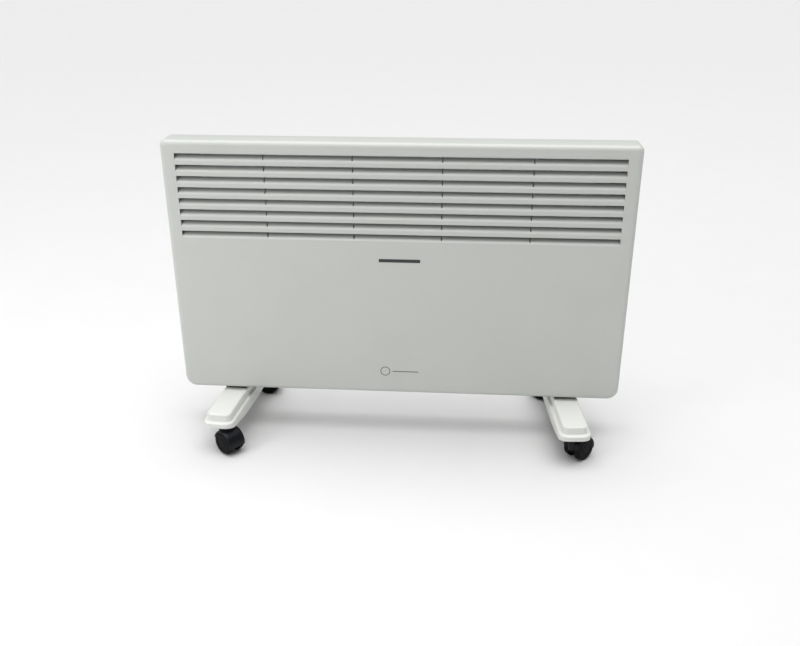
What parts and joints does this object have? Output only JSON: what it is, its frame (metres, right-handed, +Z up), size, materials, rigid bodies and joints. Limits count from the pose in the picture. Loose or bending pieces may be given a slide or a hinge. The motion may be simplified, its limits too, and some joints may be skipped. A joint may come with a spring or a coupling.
{
  "type": "convector heater",
  "caption": "Flat white panel convector heater with horizontal louvres near the top, recessed side controls and two stepped feet on black twin-wheel swivel casters.",
  "frame": {"origin": "on the floor, under the middle of the whole heater", "axes": "+X along the case's width, to the right seen from the front; -Y out of the louvred front; +Z up"},
  "size_m": [0.69, 0.2556, 0.471],
  "materials": {
    "case_paint": "satin powder coat, white with a faint grey cast",
    "zinc_steel": "zinc plated",
    "fin_aluminium": "mill finish",
    "rod_sheath": "dark oxidised steel sheath",
    "ceramic": "white ceramic",
    "black_plastic": "fine texture",
    "grey_plastic": "fine texture",
    "bearing_bronze": "sintered bronze",
    "cream_plastic": "moulded",
    "lamp_lens": "clear amber",
    "pendulum_steel": "turned",
    "wire_insulation": "extruded insulation",
    "foot_plastic": "satin moulded, white",
    "caster_black": "semi-gloss moulded",
    "wheel_black": "moulded, satin"
  },
  "bodies": {
    "case": {"front_panel": "case_paint", "louvre_ribs": "case_paint", "rear_cover": "case_paint", "cover_screws": "zinc_steel", "heat_shield": "zinc_steel", "element_fins": "fin_aluminium", "element_rod": "rod_sheath", "element_insulators": "ceramic", "element_brackets": "zinc_steel", "thermal_cutout": "black_plastic", "fan_housing": "zinc_steel", "fan_bearing": "bearing_bronze", "fan_motor": "grey_plastic", "control_tray": "grey_plastic", "thermostat_body": "cream_plastic", "switch_low_body": "black_plastic", "switch_high_body": "black_plastic", "switch_fan_body": "black_plastic", "pilot_lamp_lens": "lamp_lens", "tip_over_housing": "cream_plastic", "terminal_block": "cream_plastic", "cable_gland": "black_plastic", "internal_wiring": "wire_insulation", "foot_left": "foot_plastic", "foot_right": "foot_plastic", "foot_screws": "zinc_steel", "caster_stems": "zinc_steel"},
    "blower_rotor": {"fan_impeller": "grey_plastic", "fan_shaft": "zinc_steel"},
    "thermostat": {"thermostat_shaft": "zinc_steel", "thermostat_knob": "black_plastic"},
    "rocker_low": {"switch_low_rocker": "grey_plastic"},
    "rocker_high": {"switch_high_rocker": "grey_plastic"},
    "rocker_fan": {"switch_fan_rocker": "grey_plastic"},
    "pendulum": {"tip_over_pendulum": "pendulum_steel"},
    "front_left_caster": {"front_left_hood": "caster_black", "front_left_axle": "zinc_steel"},
    "front_left_wheel_a": {"front_left_wheel_a": "wheel_black"},
    "front_left_wheel_b": {"front_left_wheel_b": "wheel_black"},
    "front_right_caster": {"front_right_hood": "caster_black", "front_right_axle": "zinc_steel"},
    "front_right_wheel_a": {"front_right_wheel_a": "wheel_black"},
    "front_right_wheel_b": {"front_right_wheel_b": "wheel_black"},
    "rear_left_caster": {"rear_left_hood": "caster_black", "rear_left_axle": "zinc_steel"},
    "rear_left_wheel_a": {"rear_left_wheel_a": "wheel_black"},
    "rear_left_wheel_b": {"rear_left_wheel_b": "wheel_black"},
    "rear_right_caster": {"rear_right_hood": "caster_black", "rear_right_axle": "zinc_steel"},
    "rear_right_wheel_a": {"rear_right_wheel_a": "wheel_black"},
    "rear_right_wheel_b": {"rear_right_wheel_b": "wheel_black"}
  },
  "joints": [
    {"name": "blower_spin", "type": "hinge", "parent": "case", "child": "blower_rotor", "pos_m": [-0.04, -0.007, 0.152], "axis": [1, 0, 0], "continuous": true},
    {"name": "thermostat_turn", "type": "hinge", "parent": "case", "child": "thermostat", "pos_m": [0.3293, -0.006, 0.331], "axis": [1, 0, 0], "range_deg": [-270, 0]},
    {"name": "rocker_low_press", "type": "hinge", "parent": "case", "child": "rocker_low", "pos_m": [0.3283, -0.006, 0.409], "axis": [0, 1, 0], "range_deg": [-24, 0]},
    {"name": "rocker_high_press", "type": "hinge", "parent": "case", "child": "rocker_high", "pos_m": [0.3283, -0.006, 0.383], "axis": [0, 1, 0], "range_deg": [-24, 0]},
    {"name": "rocker_fan_press", "type": "hinge", "parent": "case", "child": "rocker_fan", "pos_m": [0.3283, -0.006, 0.357], "axis": [0, 1, 0], "range_deg": [-24, 0]},
    {"name": "pendulum_swing", "type": "hinge", "parent": "case", "child": "pendulum", "pos_m": [-0.225, -0.004, 0.106], "axis": [0, 1, 0], "range_deg": [-15, 15]},
    {"name": "front_left_swivel", "type": "hinge", "parent": "case", "child": "front_left_caster", "pos_m": [-0.27128, -0.09464, 0.041], "axis": [0, 0, 1], "continuous": true},
    {"name": "front_left_wheel_a_roll", "type": "hinge", "parent": "front_left_caster", "child": "front_left_wheel_a", "pos_m": [-0.25867, -0.10449, 0.019], "axis": [0.6157, 0.788, 0], "continuous": true},
    {"name": "front_left_wheel_b_roll", "type": "hinge", "parent": "front_left_caster", "child": "front_left_wheel_b", "pos_m": [-0.25867, -0.10449, 0.019], "axis": [0.6157, 0.788, 0], "continuous": true},
    {"name": "front_right_swivel", "type": "hinge", "parent": "case", "child": "front_right_caster", "pos_m": [0.27128, -0.09464, 0.041], "axis": [0, 0, 1], "continuous": true},
    {"name": "front_right_wheel_a_roll", "type": "hinge", "parent": "front_right_caster", "child": "front_right_wheel_a", "pos_m": [0.28259, -0.08332, 0.019], "axis": [-0.7071, 0.7071, 0], "continuous": true},
    {"name": "front_right_wheel_b_roll", "type": "hinge", "parent": "front_right_caster", "child": "front_right_wheel_b", "pos_m": [0.28259, -0.08332, 0.019], "axis": [-0.7071, 0.7071, 0], "continuous": true},
    {"name": "rear_left_swivel", "type": "hinge", "parent": "case", "child": "rear_left_caster", "pos_m": [-0.25472, 0.09464, 0.041], "axis": [0, 0, 1], "continuous": true},
    {"name": "rear_left_wheel_a_roll", "type": "hinge", "parent": "rear_left_caster", "child": "rear_left_wheel_a", "pos_m": [-0.23872, 0.09464, 0.019], "axis": [0, 1, 0], "continuous": true},
    {"name": "rear_left_wheel_b_roll", "type": "hinge", "parent": "rear_left_caster", "child": "rear_left_wheel_b", "pos_m": [-0.23872, 0.09464, 0.019], "axis": [0, 1, 0], "continuous": true},
    {"name": "rear_right_swivel", "type": "hinge", "parent": "case", "child": "rear_right_caster", "pos_m": [0.25472, 0.09464, 0.041], "axis": [0, 0, 1], "continuous": true},
    {"name": "rear_right_wheel_a_roll", "type": "hinge", "parent": "rear_right_caster", "child": "rear_right_wheel_a", "pos_m": [0.24211, 0.10449, 0.019], "axis": [-0.6157, -0.788, 0], "continuous": true},
    {"name": "rear_right_wheel_b_roll", "type": "hinge", "parent": "rear_right_caster", "child": "rear_right_wheel_b", "pos_m": [0.24211, 0.10449, 0.019], "axis": [-0.6157, -0.788, 0], "continuous": true}
  ]
}
